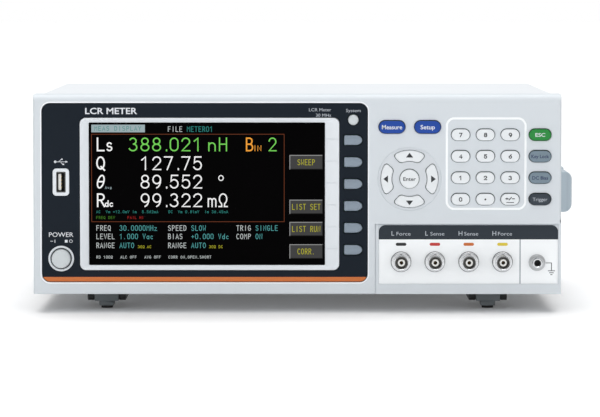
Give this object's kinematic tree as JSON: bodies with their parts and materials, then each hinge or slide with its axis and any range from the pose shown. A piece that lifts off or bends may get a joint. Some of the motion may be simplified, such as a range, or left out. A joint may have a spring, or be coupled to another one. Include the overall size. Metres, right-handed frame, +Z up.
{
  "type": "benchtop lcr meter",
  "caption": "Benchtop component meter: wide low case, colour display at left, keypad and a row of coaxial test jacks at right, carrying strap on its side, folding front feet.",
  "frame": {"origin": "on the bench, under the middle of the whole object's bounding box", "axes": "+X to the user's right, +Y from the front panel to the rear panel, +Z up"},
  "size_m": [0.356, 0.336, 0.143],
  "materials": {
    "shell": "fine moulded texture, pale grey",
    "fascia": "navy black, silk screened, low gloss",
    "screen_trim": "silver grey, satin",
    "screen": "dark display glass, lit picture",
    "cover_paint": "off-white powder coat",
    "bare_steel": "zinc plated sheet",
    "nickel": "nickel plated brass, turned",
    "key_white": "silicone keys, off-white",
    "key_grey": "silver blue grey",
    "key_blue": "deep blue",
    "key_green": "green",
    "key_slate": "blue grey",
    "key_dark": "dark slate",
    "foot_plastic": "mid grey, moulded texture",
    "black_plastic": "black, moulded texture",
    "strap_plastic": "light grey end caps",
    "strap_rubber": "blue grey, ribbed grip",
    "circuit_board": "green solder mask"
  },
  "bodies": {
    "case": {"front_frame": "shell", "display_fascia": "fascia", "screen_frame": "screen_trim", "lcd_module": "screen", "key_board": "circuit_board", "terminal_panel": "shell", "usb_socket": "bare_steel", "bnc_jack_low_force": "nickel", "bnc_jack_low_sense": "nickel", "bnc_jack_high_sense": "nickel", "bnc_jack_high_force": "nickel", "ground_terminal": "nickel", "top_cover": "cover_paint", "chassis_tray": "bare_steel", "main_board": "circuit_board", "power_supply": "circuit_board", "ac_inlet": "black_plastic", "fan_frame": "black_plastic", "interface_board": "circuit_board", "strap_cap_front": "strap_plastic", "strap_cap_rear": "strap_plastic", "carry_strap": "strap_rubber", "foot_front_left": "foot_plastic", "foot_front_right": "foot_plastic", "foot_rear_left": "foot_plastic", "foot_rear_right": "foot_plastic"},
    "system_key_body": {"system_key": "key_grey"},
    "measure_key_body": {"measure_key": "key_blue"},
    "setup_key_body": {"setup_key": "key_blue"},
    "enter_key_body": {"enter_key": "key_white"},
    "escape_key_body": {"escape_key": "key_green"},
    "lock_key_body": {"lock_key": "key_slate"},
    "bias_key_body": {"bias_key": "key_slate"},
    "trigger_key_body": {"trigger_key": "key_dark"},
    "function_key_1_body": {"function_key_1": "key_grey"},
    "function_key_2_body": {"function_key_2": "key_grey"},
    "function_key_3_body": {"function_key_3": "key_grey"},
    "function_key_4_body": {"function_key_4": "key_grey"},
    "function_key_5_body": {"function_key_5": "key_grey"},
    "function_key_6_body": {"function_key_6": "key_grey"},
    "digit_key_7_body": {"digit_key_7": "key_white"},
    "digit_key_8_body": {"digit_key_8": "key_white"},
    "digit_key_9_body": {"digit_key_9": "key_white"},
    "digit_key_4_body": {"digit_key_4": "key_white"},
    "digit_key_5_body": {"digit_key_5": "key_white"},
    "digit_key_6_body": {"digit_key_6": "key_white"},
    "digit_key_1_body": {"digit_key_1": "key_white"},
    "digit_key_2_body": {"digit_key_2": "key_white"},
    "digit_key_3_body": {"digit_key_3": "key_white"},
    "digit_key_0_body": {"digit_key_0": "key_white"},
    "digit_key_point_body": {"digit_key_point": "key_white"},
    "digit_key_sign_body": {"digit_key_sign": "key_white"},
    "arrow_key_up_body": {"arrow_key_up": "key_white"},
    "arrow_key_left_body": {"arrow_key_left": "key_white"},
    "arrow_key_down_body": {"arrow_key_down": "key_white"},
    "arrow_key_right_body": {"arrow_key_right": "key_white"},
    "power_button_body": {"power_button": "screen_trim"},
    "tilt_leg_left_body": {"tilt_leg_left": "black_plastic"},
    "tilt_leg_right_body": {"tilt_leg_right": "black_plastic"},
    "fan_rotor_body": {"fan_rotor": "black_plastic"}
  },
  "joints": [
    {"name": "enter_key_press", "type": "slide", "parent": "case", "child": "enter_key_body", "axis": [0, 1, 0], "range_m": [0, 0.001], "stiffness_N_per_m": 700},
    {"name": "function_key_1_press", "type": "slide", "parent": "case", "child": "function_key_1_body", "axis": [0, 1, 0], "range_m": [0, 0.001], "stiffness_N_per_m": 700},
    {"name": "digit_key_5_press", "type": "slide", "parent": "case", "child": "digit_key_5_body", "axis": [0, 1, 0], "range_m": [0, 0.001], "stiffness_N_per_m": 700},
    {"name": "arrow_key_up_press", "type": "slide", "parent": "case", "child": "arrow_key_up_body", "axis": [0, 1, 0], "range_m": [0, 0.001], "stiffness_N_per_m": 700},
    {"name": "power_button_press", "type": "slide", "parent": "case", "child": "power_button_body", "axis": [0, 1, 0], "range_m": [0, 0.003], "stiffness_N_per_m": 500},
    {"name": "tilt_leg_left_hinge", "type": "hinge", "parent": "case", "child": "tilt_leg_left_body", "pos_m": [-0.1317, -0.12305, 0.0084], "axis": [-1, 0, 0], "range_deg": [0, 90]},
    {"name": "tilt_leg_right_hinge", "type": "hinge", "parent": "case", "child": "tilt_leg_right_body", "pos_m": [0.1217, -0.12305, 0.0084], "axis": [-1, 0, 0], "range_deg": [0, 90]},
    {"name": "fan_spin", "type": "hinge", "parent": "case", "child": "fan_rotor_body", "pos_m": [0.107, 0.14695, 0.078], "axis": [0, 1, 0], "continuous": true},
    {"name": "system_key_press", "type": "slide", "parent": "case", "child": "system_key_body", "axis": [0, 1, 0], "range_m": [0, 0.001], "stiffness_N_per_m": 700},
    {"name": "measure_key_press", "type": "slide", "parent": "case", "child": "measure_key_body", "axis": [0, 1, 0], "range_m": [0, 0.001], "stiffness_N_per_m": 700},
    {"name": "setup_key_press", "type": "slide", "parent": "case", "child": "setup_key_body", "axis": [0, 1, 0], "range_m": [0, 0.001], "stiffness_N_per_m": 700},
    {"name": "escape_key_press", "type": "slide", "parent": "case", "child": "escape_key_body", "axis": [0, 1, 0], "range_m": [0, 0.001], "stiffness_N_per_m": 700},
    {"name": "lock_key_press", "type": "slide", "parent": "case", "child": "lock_key_body", "axis": [0, 1, 0], "range_m": [0, 0.001], "stiffness_N_per_m": 700},
    {"name": "bias_key_press", "type": "slide", "parent": "case", "child": "bias_key_body", "axis": [0, 1, 0], "range_m": [0, 0.001], "stiffness_N_per_m": 700},
    {"name": "trigger_key_press", "type": "slide", "parent": "case", "child": "trigger_key_body", "axis": [0, 1, 0], "range_m": [0, 0.001], "stiffness_N_per_m": 700},
    {"name": "function_key_2_press", "type": "slide", "parent": "case", "child": "function_key_2_body", "axis": [0, 1, 0], "range_m": [0, 0.001], "stiffness_N_per_m": 700},
    {"name": "function_key_3_press", "type": "slide", "parent": "case", "child": "function_key_3_body", "axis": [0, 1, 0], "range_m": [0, 0.001], "stiffness_N_per_m": 700},
    {"name": "function_key_4_press", "type": "slide", "parent": "case", "child": "function_key_4_body", "axis": [0, 1, 0], "range_m": [0, 0.001], "stiffness_N_per_m": 700},
    {"name": "function_key_5_press", "type": "slide", "parent": "case", "child": "function_key_5_body", "axis": [0, 1, 0], "range_m": [0, 0.001], "stiffness_N_per_m": 700},
    {"name": "function_key_6_press", "type": "slide", "parent": "case", "child": "function_key_6_body", "axis": [0, 1, 0], "range_m": [0, 0.001], "stiffness_N_per_m": 700},
    {"name": "digit_key_7_press", "type": "slide", "parent": "case", "child": "digit_key_7_body", "axis": [0, 1, 0], "range_m": [0, 0.001], "stiffness_N_per_m": 700},
    {"name": "digit_key_8_press", "type": "slide", "parent": "case", "child": "digit_key_8_body", "axis": [0, 1, 0], "range_m": [0, 0.001], "stiffness_N_per_m": 700},
    {"name": "digit_key_9_press", "type": "slide", "parent": "case", "child": "digit_key_9_body", "axis": [0, 1, 0], "range_m": [0, 0.001], "stiffness_N_per_m": 700},
    {"name": "digit_key_4_press", "type": "slide", "parent": "case", "child": "digit_key_4_body", "axis": [0, 1, 0], "range_m": [0, 0.001], "stiffness_N_per_m": 700},
    {"name": "digit_key_6_press", "type": "slide", "parent": "case", "child": "digit_key_6_body", "axis": [0, 1, 0], "range_m": [0, 0.001], "stiffness_N_per_m": 700},
    {"name": "digit_key_1_press", "type": "slide", "parent": "case", "child": "digit_key_1_body", "axis": [0, 1, 0], "range_m": [0, 0.001], "stiffness_N_per_m": 700},
    {"name": "digit_key_2_press", "type": "slide", "parent": "case", "child": "digit_key_2_body", "axis": [0, 1, 0], "range_m": [0, 0.001], "stiffness_N_per_m": 700},
    {"name": "digit_key_3_press", "type": "slide", "parent": "case", "child": "digit_key_3_body", "axis": [0, 1, 0], "range_m": [0, 0.001], "stiffness_N_per_m": 700},
    {"name": "digit_key_0_press", "type": "slide", "parent": "case", "child": "digit_key_0_body", "axis": [0, 1, 0], "range_m": [0, 0.001], "stiffness_N_per_m": 700},
    {"name": "digit_key_point_press", "type": "slide", "parent": "case", "child": "digit_key_point_body", "axis": [0, 1, 0], "range_m": [0, 0.001], "stiffness_N_per_m": 700},
    {"name": "digit_key_sign_press", "type": "slide", "parent": "case", "child": "digit_key_sign_body", "axis": [0, 1, 0], "range_m": [0, 0.001], "stiffness_N_per_m": 700},
    {"name": "arrow_key_left_press", "type": "slide", "parent": "case", "child": "arrow_key_left_body", "axis": [0, 1, 0], "range_m": [0, 0.001], "stiffness_N_per_m": 700},
    {"name": "arrow_key_down_press", "type": "slide", "parent": "case", "child": "arrow_key_down_body", "axis": [0, 1, 0], "range_m": [0, 0.001], "stiffness_N_per_m": 700},
    {"name": "arrow_key_right_press", "type": "slide", "parent": "case", "child": "arrow_key_right_body", "axis": [0, 1, 0], "range_m": [0, 0.001], "stiffness_N_per_m": 700}
  ]
}
